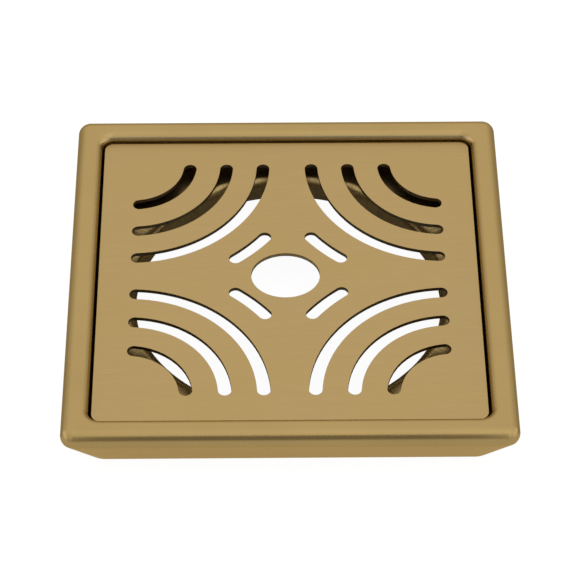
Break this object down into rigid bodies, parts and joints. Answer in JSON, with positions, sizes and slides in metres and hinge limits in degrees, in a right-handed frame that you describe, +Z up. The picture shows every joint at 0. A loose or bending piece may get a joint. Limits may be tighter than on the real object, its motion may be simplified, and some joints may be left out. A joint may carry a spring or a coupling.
{
  "type": "floor drain grate",
  "caption": "Square floor drain: a loose brushed-metal plate cut with fans of curved slots, in a rolled rim frame over a tray with a round outlet collar.",
  "frame": {"origin": "under the middle of the outlet, on the plane that the outlet collar and the skirt's foot stand on", "axes": "+Z up through the outlet, +X along the grate's brushed grain, +Y across it"},
  "size_m": [0.15, 0.15, 0.0183],
  "materials": {
    "frame_brass": "satin, antique gold coating on stainless sheet",
    "tray_brass": "drawn and polished, antique gold coating on stainless sheet",
    "grate_brass": "fine brushed along X, antique gold coating on stainless plate"
  },
  "bodies": {
    "drain_body": {"rim_frame": "frame_brass", "outlet_tray": "tray_brass"},
    "grate": {"grate_plate": "grate_brass"}
  },
  "joints": [
    {"name": "grate_lift", "type": "slide", "parent": "drain_body", "child": "grate", "axis": [0, 0, 1], "range_m": [0, 0.04]}
  ]
}
